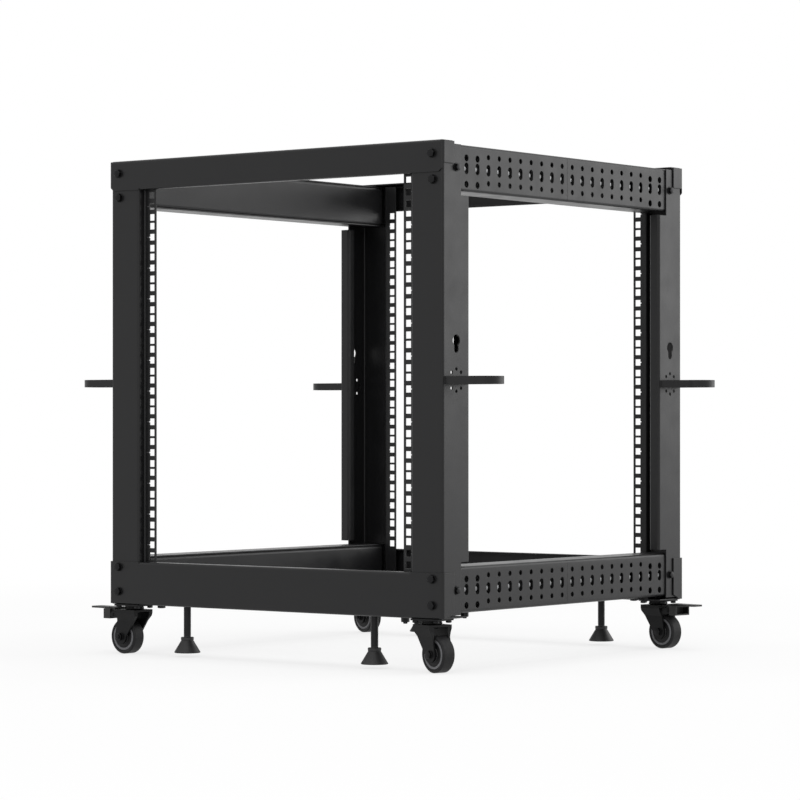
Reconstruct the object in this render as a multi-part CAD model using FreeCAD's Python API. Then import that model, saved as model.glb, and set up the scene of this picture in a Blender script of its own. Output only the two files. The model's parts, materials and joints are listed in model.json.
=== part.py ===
# Four-post open frame rack, 12 units high, on swivel casters.
# Millimetres. +X right seen from the front, -Y front, +Z up.
# Origin on the floor under the middle of the frame.
import FreeCAD
import Part
import math
import os

V = FreeCAD.Vector

# ---------------------------------------------------------------- sizes
SHEET = 2.0            # thickness of all folded sheet
BEND = 2.0             # inner bend radius
EASE = 0.3             # gap kept at rest between neighbouring parts
PIN_CLEAR = 0.05       # radial clearance of the pins
NEST = 0.25            # clearance of the sleeve in the side rails
TOUCH = 0.1            # end play of a side rail behind the post face
UNIT = 44.45           # one rack unit
UNIT_HOLES = (6.35, 22.225, 38.1)  # hole heights within a unit
HOLE_COL = 232.55      # half spacing of the mounting hole columns
HOLE_SIDE = 9.5        # square mounting hole
NOTCH_MARK = 1.6       # notch beside the middle hole of a unit
FREE_EDGE = 225.0      # free edge of the mounting flange from the middle
STEP_WEB = 246.5       # step between mounting flange and post face
STEP_IN = 12.7         # setback of the mounting flange behind the face
POST_FACE = 298.0      # outer front face of a post from the middle
POST_SIDE = 300.0      # outer side face of a post from the middle
POST_DEPTH = 61.5      # depth of the post side face
LIP = 17.0             # width of the inward lip at the back of a post
RETURN = 14.0          # depth of the return behind the lip
FRAME_BOTTOM = 72.5    # underside of the bottom beams
FRAME_TOP = 715.0      # upper face of the top beams
TOP_BEAM_H = 43.0      # height of a top beam
TOP_FLANGE = 27.0      # depth of its upper flange
TOP_RETURN = 10.0      # depth of its lower return
BOT_BEAM_H = 62.0      # height of a bottom beam
BOT_FLANGE = 58.0      # depth of its lower flange
BOT_UPPER = 14.0       # depth of its upper flange
TAB_DEPTH = 26.0       # depth of the side tabs of the beams
TAB_CUT = 12.0         # how far a top tab stays above the beam edge
CHAMFER_W = 8.5        # outer corner cut, sideways
CHAMFER_H = 6.6        # outer corner cut, upwards
SIDE_H = 63.0          # height of a side rail
SIDE_DEPTH = 46.0      # flange depth of a side rail
SIDE_LIFT = 6.5        # lower side rail above the beam underside
SIDE_DROP = 4.0        # upper side rail below the beam top
PITCH = 25.4           # pitch of the perforation along a side rail
ROW = 17.8             # spacing of the perforation rows
DOT = 6.0              # small round perforation
END_COLUMNS = 2        # columns at each end with larger round holes
END_HOLE = 9.0         # larger round hole
END_DROP = 3.75        # how far those holes sit lower
OVAL_W = 8.5           # obround perforation, width
OVAL_H = 13.0          # obround perforation, height
SLEEVE_HALF = 280.0    # half length of the sleeve
NOTCH = 20.0           # part of the post side cut away for a side rail
NOTCH_OVER = 6.0       # how far the cut runs past the side rail
SIDE_HOLE_IN = 31.0    # post side holes behind the post face
RING_UP = 320.5        # middle of the ring of holes above the beam bottom
RING_PCD = 30.0        # pitch circle of the ring of holes
RING_HOLE = 5.0        # hole of the ring
KEY_UP = 53.5          # keyhole above the ring
KEY_D = 16.0           # wide part of the keyhole
KEY_SLOT = 9.5         # narrow part of the keyhole
KEY_DROP = 12.2        # from the wide middle to the middle of the slot end
BOLT_HOLE = 6.5        # clearance hole for the frame bolts
FACE_BOLT_IN = 16.0    # bolts in the post face from the post side
SIDE_BOLT_IN = 31.3    # bolts in the post side from the post face
TOP_BOLTS_DOWN = (18.0, 53.0)  # face bolts below the beam top
BOT_BOLTS_UP = (54.0, 18.5)    # face bolts above the beam underside
HOOK_W = 10.7          # width of the hook strip
HOOK_SPAN = 52.0       # outer width over the two arms
HOOK_STRAIGHT = 47.0   # straight length of an arm
PIVOT_IN_X = 30.0      # caster pivot from the post side
PIVOT_IN_Y = 18.5      # caster pivot from the beam face
WHEEL_D = 50.0         # caster wheel
TYRE_W = 20.0          # tyre width
TYRE_T = 4.8           # tyre thickness
HUB_W = 16.0           # hub width
AXLE_D = 8.0           # caster axle
TRAIL = 14.0           # caster trail
SWIVEL_PIN = 10.0      # pin of the swivel
PIN_OUT = 4.0          # pin above the underside of the beam
PIN_HEAD = 2.5         # height of the head under the crown
RACE_D = 27.0          # outside of the swivel race
CROWN_FRONT = 18.0     # fork crown ahead of the pivot
CROWN_BACK = 19.0      # fork crown behind the pivot
CROWN_DOWN = 8.0       # fork crown below the beam underside
CROWN_T = 3.0          # thickness of the fork sheet
FORK_W = 38.0          # outer width of the fork crown
LEG_GAP = 2.0          # side play between fork leg and tyre
PLATE = 46.0           # caster top plate side
PLATE_T = 2.5          # caster top plate thickness
PEDAL_L = 48.5         # reach of the brake pedal block from the pivot
PEDAL_TIP = 80.0       # reach of its tongue
PEDAL_H = 16.6         # height of the pedal
PEDAL_W = 22.0         # width of the lug and tongue
TONGUE_T = 2.4         # thickness of the flat tongue
PEDAL_WALL = 2.0       # wall of the hollow pedal block
PEDAL_GAP = 0.7        # pedal block beyond the ears
TONGUE_UP = 2.6        # tongue above the fork crown
HINGE_X = 30.0         # pedal hinge behind the swivel axis
HINGE_DOWN = 8.0       # pedal hinge below the fork crown
HINGE_D = 4.0          # hinge pin of the pedal
EAR_R = 4.5            # round end of the ears that hold the pin
FOOT_IN_X = 130.0      # levelling foot from the post side
FOOT_IN_Y = 21.0       # levelling foot from the beam face
FOOT_LOW = 6.0         # underside of the foot pad
FOOT_PAD = 37.5        # pad diameter
FOOT_NECK = 18.5       # neck diameter of the pad
FOOT_PAD_H = 22.5      # pad height
FOOT_COLLAR = 4.5      # height of the collar above the cone
FOOT_STEM = 10.0       # stem diameter
FOOT_OUT = 34.0        # stem above the underside of the beam

# ------------------------------------------------- places that follow
BEAM_OUT = POST_FACE + SHEET
RAIL_PLANE = POST_FACE - STEP_IN
FLANGE_SEAM = STEP_WEB - BEND - SHEET / 4
U_START = FRAME_BOTTOM + BOT_BEAM_H + SHEET + EASE + 0.2
UNITS = int((FRAME_TOP - TOP_BEAM_H - U_START) / UNIT)
TOP_SIDE_Z = FRAME_TOP - SIDE_DROP - SIDE_H / 2
BOT_SIDE_Z = FRAME_BOTTOM + SIDE_LIFT + SIDE_H / 2
SIDE_END = POST_FACE - SHEET - TOUCH
COLUMNS = int((POST_FACE - POST_DEPTH + NOTCH - OVAL_W / 2) / PITCH)
SIDE_HOLE_Y = POST_FACE - SIDE_HOLE_IN
RING_Z = FRAME_BOTTOM + RING_UP
KEY_Z = RING_Z + KEY_UP
FACE_BOLT_X = POST_SIDE - FACE_BOLT_IN
SIDE_BOLT_Y = POST_FACE - SIDE_BOLT_IN
TOP_BOLTS = tuple(FRAME_TOP - d for d in TOP_BOLTS_DOWN)
BOT_BOLTS = tuple(FRAME_BOTTOM + d for d in BOT_BOLTS_UP)
PIVOT_X = POST_SIDE - PIVOT_IN_X
PIVOT_Y = BEAM_OUT - PIVOT_IN_Y
CROWN_TOP = FRAME_BOTTOM - CROWN_DOWN
PEDAL_TOP = CROWN_TOP + TONGUE_UP
PEDAL_LOW = PEDAL_TOP - PEDAL_H
HINGE_Z = CROWN_TOP - HINGE_DOWN
FOOT_X = POST_SIDE - FOOT_IN_X
FOOT_Y = BEAM_OUT - FOOT_IN_Y
FOOT_TOP = FRAME_BOTTOM + FOOT_OUT
REACH = 3 * WHEEL_D    # length of a cutter that runs past a fork
# direction of trail of each caster, degrees from +X
TRAIL_DIR = {
    "front_right": -15.7,
    "rear_right": -9.7,
    "rear_left": 164.3,
    "front_left": 177.4,
}
BRAKED = ("front_left", "rear_right")
CORNERS = {
    "front_left": (-1, -1),
    "front_right": (1, -1),
    "rear_left": (-1, 1),
    "rear_right": (1, 1),
}


# ---------------------------------------------------------------- tools
def box(x0, x1, y0, y1, z0, z1):
    """Block between two corners given in any order."""
    xs = sorted((x0, x1))
    ys = sorted((y0, y1))
    zs = sorted((z0, z1))
    size = (xs[1] - xs[0], ys[1] - ys[0], zs[1] - zs[0])
    return Part.makeBox(*size, V(xs[0], ys[0], zs[0]))


def strip(points, thick, radius):
    """Closed flat outline of a folded sheet along a centre line."""
    pts = [V(p[0], p[1], 0) for p in points]
    sides = ([], [])
    last = len(pts) - 1
    for i, p in enumerate(pts):
        if i in (0, last):
            q = pts[1] if i == 0 else pts[last - 1]
            d = (q - p) if i == 0 else (p - q)
            d.normalize()
            n = V(-d.y, d.x, 0)
            for k, s in enumerate((1, -1)):
                sides[k].append((p + n * (s * thick / 2),))
            continue
        a = (p - pts[i - 1])
        b = (pts[i + 1] - p)
        a.normalize()
        b.normalize()
        turn = a.x * b.y - a.y * b.x
        ang = math.acos(max(-1.0, min(1.0, a.dot(b))))
        back = radius * math.tan(ang / 2)
        sgn = 1 if turn > 0 else -1
        start = p - a * back
        end = p + b * back
        na = V(-a.y, a.x, 0)
        nb = V(-b.y, b.x, 0)
        mid_n = na + nb
        mid_n.normalize()
        centre = start + na * (sgn * radius)
        for k, s in enumerate((1, -1)):
            r = radius - sgn * s * thick / 2
            first = start + na * (s * thick / 2)
            final = end + nb * (s * thick / 2)
            middle = centre - mid_n * (sgn * r)
            sides[k].append((first, middle, final))
    edges = []
    for k in (0, 1):
        chain = sides[k]
        for i in range(len(chain) - 1):
            edges.append(Part.makeLine(chain[i][-1], chain[i + 1][0]))
            if len(chain[i + 1]) == 3:
                f, m, t = chain[i + 1]
                edges.append(Part.Arc(f, m, t).toShape())
    for i in (0, last):
        edges.append(Part.makeLine(sides[0][i][-1], sides[1][i][-1]))
    wire = Part.Wire(Part.__sortEdges__(edges))
    return Part.Face(wire)


def fold_z(points, z0, z1):
    """Folded sheet standing upright, outline in X and Y."""
    face = strip(points, SHEET, BEND + SHEET / 2)
    face.translate(V(0, 0, z0))
    return face.extrude(V(0, 0, z1 - z0))


def fold_x(points, x0, x1):
    """Folded sheet lying along X, outline in Y and Z."""
    face = strip(points, SHEET, BEND + SHEET / 2)
    face.rotate(V(0, 0, 0), V(1, 1, 1), 120)
    face.translate(V(x0, 0, 0))
    return face.extrude(V(x1 - x0, 0, 0))


def fold_y(points, y0, y1):
    """Folded sheet lying along Y, outline in X and Z."""
    face = strip(points, SHEET, BEND + SHEET / 2)
    face.rotate(V(0, 0, 0), V(1, 0, 0), 90)
    face.translate(V(0, y0, 0))
    return face.extrude(V(0, y1 - y0, 0))


def rod(d, start, end):
    """Round bar between two points."""
    way = end - start
    return Part.makeCylinder(d / 2, way.Length, start, way)


def slot_x(x0, x1, y, z, w, h):
    """Upright obround cutter running along X."""
    reach = (h - w) / 2
    body = box(x0, x1, y - w / 2, y + w / 2, z - reach, z + reach)
    for s in (-1, 1):
        end = rod(w, V(x0, y, z + s * reach), V(x1, y, z + s * reach))
        body = body.fuse(end)
    return body.removeSplitter()


def many(shapes):
    """One compound used as a single cutter."""
    return Part.makeCompound(shapes)


def place(shape, sx, sy):
    """Mirror a shape drawn at +X, +Y into the given corner."""
    out = shape.copy()
    if sx < 0:
        out = out.mirror(V(0, 0, 0), V(1, 0, 0))
    if sy < 0:
        out = out.mirror(V(0, 0, 0), V(0, 1, 0))
    return out


nodes = {}

# ---------------------------------------------------------------- posts
HALF = SHEET / 2
POST_BOTTOM = FRAME_BOTTOM + SHEET + BEND + EASE
POST_TOP = FRAME_TOP - SHEET - BEND - EASE


def make_flange():
    """Flat mounting flange with its square holes, drawn at +X, +Y."""
    strip_y = RAIL_PLANE - SHEET
    flange = box(FREE_EDGE, FLANGE_SEAM, strip_y, RAIL_PLANE,
                 POST_BOTTOM, POST_TOP)
    cuts = []
    half = HOLE_SIDE / 2
    for u in range(UNITS):
        for off in UNIT_HOLES:
            z = U_START + u * UNIT + off
            cuts.append(box(HOLE_COL - half, HOLE_COL + half,
                            strip_y - 1, RAIL_PLANE + 1,
                            z - half, z + half))
        z = U_START + u * UNIT + UNIT_HOLES[1]
        cuts.append(box(HOLE_COL + half - 0.5, HOLE_COL + half + NOTCH_MARK,
                        strip_y - 1, RAIL_PLANE + 1,
                        z - NOTCH_MARK / 2, z + NOTCH_MARK / 2))
    return flange.cut(many(cuts))


def make_post():
    """Folded post from the seam of its flange, drawn at +X, +Y."""
    lip_y = POST_FACE - POST_DEPTH + HALF
    back_x = POST_SIDE - LIP + HALF
    path = [
        (FLANGE_SEAM, RAIL_PLANE - HALF),
        (STEP_WEB + HALF, RAIL_PLANE - HALF),
        (STEP_WEB + HALF, POST_FACE - HALF),
        (POST_SIDE - HALF, POST_FACE - HALF),
        (POST_SIDE - HALF, lip_y),
        (back_x, lip_y),
        (back_x, lip_y - HALF + RETURN),
    ]
    post = fold_z(path, POST_BOTTOM, POST_TOP)
    cuts = []
    inner = POST_FACE - POST_DEPTH - 1
    edge = POST_FACE - POST_DEPTH + NOTCH
    near = POST_SIDE - LIP - 1
    low = BOT_SIDE_Z + SIDE_H / 2 + NOTCH_OVER
    high = TOP_SIDE_Z - SIDE_H / 2 - NOTCH_OVER
    cuts.append(box(near, POST_SIDE + 1, inner, edge, POST_BOTTOM - 1, low))
    cuts.append(box(near, POST_SIDE + 1, inner, edge, high, POST_TOP + 1))
    out = POST_SIDE + 1
    deep = POST_SIDE - SHEET - 1
    for i in range(8):
        a = math.radians(45 * i)
        y = SIDE_HOLE_Y + RING_PCD / 2 * math.cos(a)
        z = RING_Z + RING_PCD / 2 * math.sin(a)
        cuts.append(rod(RING_HOLE, V(deep, y, z), V(out, y, z)))
    key = rod(KEY_D, V(deep, SIDE_HOLE_Y, KEY_Z), V(out, SIDE_HOLE_Y, KEY_Z))
    drop = slot_x(deep, out, SIDE_HOLE_Y, KEY_Z - KEY_DROP / 2,
                  KEY_SLOT, KEY_DROP + KEY_SLOT)
    cuts.append(key.fuse(drop).removeSplitter())
    cuts.extend(face_bolts(POST_FACE - SHEET - 1, POST_FACE + 1))
    cuts.extend(side_bolts(deep, out))
    return post.cut(many(cuts))


def face_bolts(y0, y1):
    """Cutters for the bolts through the post face."""
    found = []
    for z in TOP_BOLTS + BOT_BOLTS:
        found.append(rod(BOLT_HOLE, V(FACE_BOLT_X, y0, z),
                         V(FACE_BOLT_X, y1, z)))
    return found


def side_bolts(x0, x1):
    """Cutters for the bolts through the post side."""
    found = []
    for z in (TOP_SIDE_Z, BOT_SIDE_Z):
        found.append(rod(BOLT_HOLE, V(x0, SIDE_BOLT_Y, z),
                         V(x1, SIDE_BOLT_Y, z)))
    return found


post = make_post()
flange = make_flange()
for name, (sx, sy) in CORNERS.items():
    nodes["post_" + name] = place(post, sx, sy)
    nodes["flange_" + name] = place(flange, sx, sy)

# ---------------------------------------------------------------- beams
BEAM_Y = POST_FACE + HALF
TAB_X = POST_SIDE + HALF
CLEAN = BEND + SHEET - 0.5


def beam_shell(z0, z1, tab_y):
    """Face and two side tabs of a beam, drawn at +Y."""
    path = [(-TAB_X, tab_y), (-TAB_X, BEAM_Y), (TAB_X, BEAM_Y),
            (TAB_X, tab_y)]
    return fold_z(path, z0, z1)


def make_top_beam():
    """Top beam with upper flange, side tabs and a small lower return."""
    z0 = FRAME_TOP - TOP_BEAM_H
    z1 = FRAME_TOP
    wide = TAB_X + HALF
    flat = wide - BEND - SHEET
    shell = beam_shell(z0, z1 - HALF, BEAM_OUT - TAB_DEPTH)
    step = z1 - SHEET - BEND
    shell = shell.cut(box(-flat, flat, BEAM_Y - HALF - 1, BEAM_Y + HALF + 1,
                          step, z1 + 1))
    flange = fold_x([(BEAM_Y, step - 8), (BEAM_Y, z1 - HALF),
                     (BEAM_OUT - TOP_FLANGE, z1 - HALF)], -flat, flat)
    lower = STEP_WEB - EASE - 1
    cut_low = box(-lower, lower, BEAM_Y - HALF - 1, BEAM_Y + HALF + 1,
                  z0 - 1, z0 + SHEET + BEND)
    ret = fold_x([(BEAM_Y, z0 + 12), (BEAM_Y, z0 + HALF),
                  (BEAM_OUT - TOP_RETURN, z0 + HALF)], -lower, lower)
    beam = shell.cut(cut_low).fuse([flange, ret]).removeSplitter()
    cuts = []
    for s in (-1, 1):
        cuts.append(box(s * (POST_SIDE - BEND), s * (wide + 1),
                        BEAM_OUT - TAB_DEPTH - 1, POST_FACE,
                        z0 - 1, z0 + TAB_CUT))
        cuts.append(corner_cut(s, wide, z0, 1))
    cuts.extend(mirrored(face_bolts(BEAM_Y - HALF - 1, BEAM_Y + HALF + 1)))
    cuts.extend(mirrored(side_bolts(POST_SIDE - 1, wide + 1)))
    return beam.cut(many(cuts))


def corner_cut(s, wide, z, up):
    """Wedge that takes a corner off the beam face."""
    pts = [V(s * (wide + 0.5), 0, z - up * 0.5),
           V(s * (wide + 0.5), 0, z + up * CHAMFER_H),
           V(s * (wide - CHAMFER_W), 0, z - up * 0.5)]
    face = Part.Face(Part.makePolygon(pts + [pts[0]]))
    face.translate(V(0, BEAM_OUT - TAB_DEPTH - 1, 0))
    return face.extrude(V(0, TAB_DEPTH + 3, 0))


def mirrored(shapes):
    """Cutters on both sides of the middle."""
    return shapes + [s.mirror(V(0, 0, 0), V(1, 0, 0)) for s in shapes]


def make_bottom_beam():
    """Bottom beam with a deep lower flange for casters and feet."""
    z0 = FRAME_BOTTOM
    z1 = FRAME_BOTTOM + BOT_BEAM_H
    wide = TAB_X + HALF
    flat = wide - BEND - SHEET
    shell = beam_shell(z0 + HALF, z1, BEAM_OUT - TAB_DEPTH)
    step = z0 + SHEET + BEND
    shell = shell.cut(box(-flat, flat, BEAM_Y - HALF - 1, BEAM_Y + HALF + 1,
                          z0 - 1, step))
    flange = fold_x([(BEAM_Y, step + 8), (BEAM_Y, z0 + HALF),
                     (BEAM_OUT - BOT_FLANGE, z0 + HALF)], -flat, flat)
    upper = STEP_WEB - EASE - 1
    cut_up = box(-upper, upper, BEAM_Y - HALF - 1, BEAM_Y + HALF + 1,
                 z1 - SHEET - BEND, z1 + 1)
    top = fold_x([(BEAM_Y, z1 - 12), (BEAM_Y, z1 - HALF),
                  (BEAM_OUT - BOT_UPPER, z1 - HALF)], -upper, upper)
    beam = shell.cut(cut_up).fuse([flange, top]).removeSplitter()
    cuts = []
    for s in (-1, 1):
        pts = [V(s * (wide + 0.5), BEAM_OUT - TAB_DEPTH - 1, z0 - 1),
               V(s * (wide + 0.5), BEAM_OUT - TAB_DEPTH - 1,
                 z0 + CHAMFER_W),
               V(s * (wide + 0.5), BEAM_Y - BEND - HALF, z0 - 1)]
        face = Part.Face(Part.makePolygon(pts + [pts[0]]))
        cuts.append(face.extrude(V(-s * (SHEET + 2.2), 0, 0)))
        cuts.append(rod(SWIVEL_PIN + 2 * PIN_CLEAR,
                        V(s * PIVOT_X, PIVOT_Y, z0 - 1),
                        V(s * PIVOT_X, PIVOT_Y, z0 + SHEET + 1)))
        cuts.append(rod(FOOT_STEM + 2 * PIN_CLEAR,
                        V(s * FOOT_X, FOOT_Y, z0 - 1),
                        V(s * FOOT_X, FOOT_Y, z0 + SHEET + 1)))
    cuts.extend(mirrored(face_bolts(BEAM_Y - HALF - 1, BEAM_Y + HALF + 1)))
    cuts.extend(mirrored(side_bolts(POST_SIDE - 1, wide + 1)))
    return beam.cut(many(cuts))


top_beam = make_top_beam()
bottom_beam = make_bottom_beam()
for end, sy in (("front", -1), ("rear", 1)):
    nodes["beam_top_" + end] = place(top_beam, 1, sy)
    nodes["beam_bottom_" + end] = place(bottom_beam, 1, sy)


# ----------------------------------------------------------- side rails
def make_side_rail():
    """Perforated channel half with an end tab, middle height at zero."""
    half = SIDE_H / 2
    web = POST_SIDE - SHEET - HALF
    edge = POST_SIDE - SHEET - SIDE_DEPTH
    end = SIDE_END - HALF
    flat = half - SHEET - BEND
    long_end = end - BEND - HALF
    channel = fold_y([(edge, half - HALF), (web, half - HALF),
                      (web, -half + HALF), (edge, -half + HALF)],
                     EASE / 2, long_end)
    tab = fold_z([(web, long_end - 4), (web, end), (edge + 8, end)],
                 -flat, flat)
    rail = channel.fuse(tab).removeSplitter()
    x0 = web - HALF - 1
    x1 = web + HALF + 1
    cuts = []
    for k in range(COLUMNS):
        y = PITCH / 2 + PITCH * k
        last = k >= COLUMNS - END_COLUMNS
        d = END_HOLE if last else DOT
        drop = END_DROP if last else 0.0
        for s in (-1, 1):
            z = s * ROW - drop
            cuts.append(rod(d, V(x0, y, z), V(x1, y, z)))
        cuts.append(slot_x(x0, x1, y, 0, OVAL_W, OVAL_H))
    cuts.append(rod(BOLT_HOLE, V(x0, SIDE_BOLT_Y, 0), V(x1, SIDE_BOLT_Y, 0)))
    return rail, cuts


def make_sleeve():
    """Plain channel nested in the two perforated halves."""
    half = SIDE_H / 2 - SHEET
    web = POST_SIDE - SHEET - SIDE_DEPTH - HALF
    edge = POST_SIDE - 2 * SHEET - BEND - EASE
    path = [(edge, half - NEST - HALF), (web, half - NEST - HALF),
            (web, -half + HALF), (edge, -half + HALF)]
    return fold_y(path, -SLEEVE_HALF, SLEEVE_HALF)


rail, rail_cuts = make_side_rail()
sleeve = make_sleeve()
for level, z, bolts in (("top", TOP_SIDE_Z, TOP_BOLTS),
                        ("bottom", BOT_SIDE_Z, BOT_BOLTS)):
    ends = []
    for b in bolts:
        ends.append(rod(BOLT_HOLE, V(FACE_BOLT_X, SIDE_END - 8, b - z),
                        V(FACE_BOLT_X, SIDE_END + 8, b - z)))
    drilled = rail.cut(many(rail_cuts + ends))
    for side, sx in (("left", -1), ("right", 1)):
        for end, sy in (("front", -1), ("rear", 1)):
            one = place(drilled, sx, sy)
            one.translate(V(0, 0, z))
            nodes["rail_%s_%s_%s" % (level, side, end)] = one
        inner = place(sleeve, sx, 1)
        inner.translate(V(0, 0, z))
        nodes["rail_%s_%s_sleeve" % (level, side)] = inner


# ---------------------------------------------------------- cable hooks
def make_hook():
    """Closed strip loop on the post side, drawn at +X, +Y."""
    r = HOOK_SPAN / 2
    x0 = POST_SIDE
    x1 = POST_SIDE + HOOK_STRAIGHT
    outline = []
    for inset in (0.0, SHEET):
        k = r - inset
        a = V(x0 + inset, -k, 0)
        b = V(x1, -k, 0)
        c = V(x1 + k, 0, 0)
        d = V(x1, k, 0)
        e = V(x0 + inset, k, 0)
        wire = Part.Wire([Part.makeLine(a, b), Part.Arc(b, c, d).toShape(),
                          Part.makeLine(d, e), Part.makeLine(e, a)])
        outline.append(Part.Face(wire))
    ring = outline[0].cut(outline[1])
    ring.translate(V(0, SIDE_HOLE_Y, RING_Z - HOOK_W / 2))
    return ring.extrude(V(0, 0, HOOK_W))


hook = make_hook()
for name, (sx, sy) in CORNERS.items():
    nodes["hook_" + name] = place(hook, sx, sy)


# -------------------------------------------------------------- casters
def make_mount():
    """Top plate, swivel race and pin of a caster about its pivot."""
    top = FRAME_BOTTOM
    plate = box(-PLATE / 2, PLATE / 2, -PLATE / 2 + 5, PLATE / 2 - 5,
                top - PLATE_T, top)
    low = Part.makeCone(RACE_D / 2 - 3, RACE_D / 2,
                        2.0, V(0, 0, CROWN_TOP + EASE))
    race = rod(RACE_D, V(0, 0, CROWN_TOP + EASE + 2.0),
               V(0, 0, top - PLATE_T))
    bottom = CROWN_TOP - CROWN_T
    pin = rod(SWIVEL_PIN, V(0, 0, bottom - PIN_HEAD),
              V(0, 0, top + PIN_OUT))
    head = rod(SWIVEL_PIN + 6, V(0, 0, bottom - PIN_HEAD - EASE),
               V(0, 0, bottom - EASE))
    return plate.fuse([low, race, pin, head]).removeSplitter()


def make_fork(braked):
    """Fork with slanted legs and a fixed axle, trailing along +X."""
    r_hub = 11.0
    z_axle = WHEEL_D / 2
    inside = TYRE_W / 2 + LEG_GAP
    top = CROWN_TOP
    front = -CROWN_FRONT
    back = CROWN_BACK
    side = [V(front, 0, top), V(back, 0, top), V(back, 0, top - 9),
            V(TRAIL + r_hub, 0, z_axle), V(TRAIL - r_hub, 0, z_axle),
            V(front, 0, top - 9)]
    wedge = Part.Face(Part.makePolygon(side + [side[0]]))
    wedge.translate(V(0, -FORK_W / 2, 0))
    body = wedge.extrude(V(0, FORK_W, 0))
    body = body.fuse(rod(2 * r_hub, V(TRAIL, -FORK_W / 2, z_axle),
                         V(TRAIL, FORK_W / 2, z_axle)))
    wide = inside + CROWN_T
    for s in (-1, 1):
        body = body.cut(box(-REACH, REACH, s * wide, s * REACH, 0, top - 16))
    body = body.cut(box(-REACH, REACH, -inside, inside, 0, top - CROWN_T))
    for s in (-1, 1):
        pts = [V(-REACH, s * wide, top - 16), V(-REACH, s * REACH, top - 16),
               V(-REACH, s * REACH, top - 5),
               V(-REACH, s * FORK_W / 2, top - 5)]
        slope = Part.Face(Part.makePolygon(pts + [pts[0]]))
        body = body.cut(slope.extrude(V(2 * REACH, 0, 0)))
    hole = rod(SWIVEL_PIN + 2 * PIN_CLEAR, V(0, 0, top - 20),
               V(0, 0, top + 1))
    axle = rod(AXLE_D, V(TRAIL, -wide - 2, z_axle),
               V(TRAIL, wide + 2, z_axle))
    adds = [axle]
    if braked:
        for s in (-1, 1):
            adds.append(box(TRAIL - 4, HINGE_X, s * inside, s * wide,
                            HINGE_Z - EAR_R, HINGE_Z + EAR_R))
            adds.append(rod(2 * EAR_R, V(HINGE_X, s * inside, HINGE_Z),
                            V(HINGE_X, s * wide, HINGE_Z)))
        adds.append(rod(HINGE_D, V(HINGE_X, -wide - 1, HINGE_Z),
                        V(HINGE_X, wide + 1, HINGE_Z)))
    return body.cut(hole).fuse(adds).removeSplitter()


def make_tyre():
    """Rubber tread around the hub."""
    r = WHEEL_D / 2
    w = TYRE_W / 2
    pts = [V(r - TYRE_T, -w + 1, 0), V(r - 2, -w, 0), V(r, -w + 2, 0),
           V(r, w - 2, 0), V(r - 2, w, 0), V(r - TYRE_T, w - 1, 0)]
    face = Part.Face(Part.makePolygon(pts + [pts[0]]))
    ring = face.revolve(V(0, 0, 0), V(0, 1, 0), 360)
    ring.translate(V(TRAIL, 0, WHEEL_D / 2))
    return ring


def make_hub():
    """Wheel body with a raised rim and a bored middle."""
    r = WHEEL_D / 2 - TYRE_T
    w = HUB_W / 2
    bore = AXLE_D / 2 + PIN_CLEAR
    pts = [V(bore, -w - 2, 0), V(9, -w - 2, 0), V(11.5, -w + 2, 0),
           V(12.5, -w, 0), V(r, -w, 0), V(r, w, 0), V(12.5, w, 0),
           V(11.5, w - 2, 0), V(9, w + 2, 0), V(bore, w + 2, 0)]
    face = Part.Face(Part.makePolygon(pts + [pts[0]]))
    body = face.revolve(V(0, 0, 0), V(0, 1, 0), 360)
    body.translate(V(TRAIL, 0, WHEEL_D / 2))
    return body


def side_plate(points, half):
    """Flat X and Z outline, thickened evenly about the middle."""
    pts = [V(p[0], -half, p[1]) for p in points]
    face = Part.Face(Part.makePolygon(pts + [pts[0]]))
    return face.extrude(V(0, 2 * half, 0))


def make_brake():
    """Brake pedal with a flat tongue, hinged between the fork ears."""
    x = HINGE_X
    wide = TYRE_W / 2 + LEG_GAP + CROWN_T
    under = PEDAL_TOP - TONGUE_T
    back = x + EAR_R + PEDAL_GAP
    floor = back + PEDAL_WALL
    lug = side_plate([(x - 5, HINGE_Z - 3.5), (x - 5, HINGE_Z + 3.5),
                      (x - 1, under), (floor, under),
                      (floor, HINGE_Z - 3.5)], PEDAL_W / 2)
    block = side_plate([(back, under), (PEDAL_L, under),
                        (PEDAL_L, PEDAL_LOW), (back, PEDAL_LOW)], wide)
    inner = side_plate([(floor, PEDAL_LOW + PEDAL_WALL),
                        (floor, under - PEDAL_WALL),
                        (PEDAL_L + 1, under - PEDAL_WALL),
                        (PEDAL_L + 1, PEDAL_LOW + PEDAL_WALL)],
                       wide - PEDAL_WALL)
    tongue = box(x - 1, PEDAL_TIP, -PEDAL_W / 2, PEDAL_W / 2,
                 under, PEDAL_TOP)
    ends = []
    for e in tongue.Edges:
        upright = abs(e.Vertexes[0].X - e.Vertexes[-1].X) < 0.01
        upright = upright and abs(e.Vertexes[0].Y - e.Vertexes[-1].Y) < 0.01
        if upright and e.Vertexes[0].X > PEDAL_L:
            ends.append(e)
    tongue = tongue.makeFillet(5.0, ends)
    bore = rod(HINGE_D + 2 * PIN_CLEAR, V(x, -wide, HINGE_Z),
               V(x, wide, HINGE_Z))
    hollow = block.cut(inner)
    return lug.fuse([hollow, tongue]).cut(bore).removeSplitter()


mount = make_mount()
forks = {True: make_fork(True), False: make_fork(False)}
tyre = make_tyre()
hub = make_hub()
brake = make_brake()
for name, (sx, sy) in CORNERS.items():
    at = V(sx * PIVOT_X, sy * PIVOT_Y, 0)
    way = TRAIL_DIR[name]
    braked = name in BRAKED
    kinds = [("fork", forks[braked]), ("tyre", tyre), ("hub", hub)]
    if braked:
        kinds.append(("brake", brake))
    for kind, shape in kinds:
        one = shape.copy()
        one.rotate(V(0, 0, 0), V(0, 0, 1), way)
        one.translate(at)
        nodes["%s_%s" % (kind, name)] = one
    base = mount.copy()
    base.translate(at)
    nodes["mount_" + name] = base


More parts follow.
